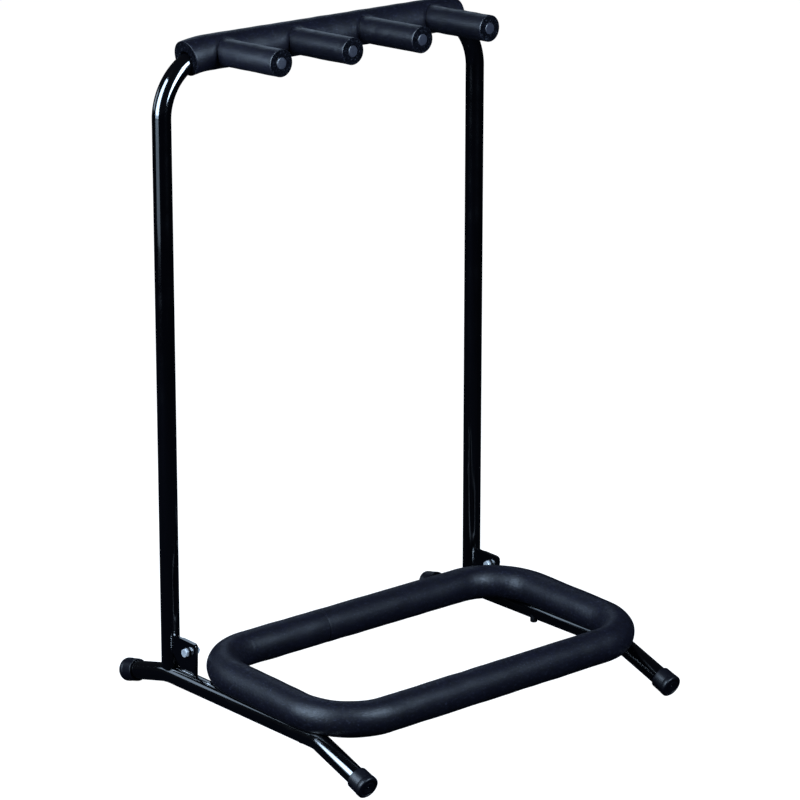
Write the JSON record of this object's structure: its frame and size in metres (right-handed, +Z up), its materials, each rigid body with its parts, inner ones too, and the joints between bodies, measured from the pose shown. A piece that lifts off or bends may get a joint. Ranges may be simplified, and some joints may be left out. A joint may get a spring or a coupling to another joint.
{
  "type": "folding guitar rack",
  "caption": "Folding floor rack for guitars: padded prongs on a bent upright tube frame, a padded cradle loop and two arched feet with rubber caps.",
  "frame": {"origin": "on the floor, under the middle of the overall box", "axes": "+Z up, -Y towards the front where the guitars go in, +X to the right seen from the front"},
  "size_m": [0.4424, 0.3841, 0.6773],
  "materials": {
    "black_paint": "gloss black paint",
    "foam": "matte closed-cell foam sleeve",
    "rubber": "satin moulded rubber",
    "plug": "satin moulded plastic",
    "zinc": "bright zinc plate",
    "dark_screw": "black zinc plate"
  },
  "bodies": {
    "base": {"foot_left": "black_paint", "foot_right": "black_paint", "foot_cap_front_left": "rubber", "foot_cap_front_right": "rubber", "foot_cap_rear_left": "rubber", "foot_cap_rear_right": "rubber", "hinge_bracket_left": "black_paint", "hinge_bracket_right": "black_paint", "hinge_bolts": "zinc", "hinge_washers": "zinc", "hinge_nuts": "zinc", "cradle_frame": "black_paint", "cradle_foam": "foam", "cradle_screws": "dark_screw"},
    "upright": {"upright_frame": "black_paint", "hinge_lug_left": "black_paint", "hinge_lug_right": "black_paint", "neck_rest_foam": "foam", "prong_rod_1": "black_paint", "prong_foam_1": "foam", "prong_plug_1": "plug", "prong_rod_2": "black_paint", "prong_foam_2": "foam", "prong_plug_2": "plug", "prong_rod_3": "black_paint", "prong_foam_3": "foam", "prong_plug_3": "plug", "prong_rod_4": "black_paint", "prong_foam_4": "foam", "prong_plug_4": "plug"}
  },
  "joints": [
    {"name": "fold", "type": "hinge", "parent": "base", "child": "upright", "pos_m": [0, 0.085, 0.0635], "axis": [1, 0, 0], "range_deg": [0, 90]}
  ]
}
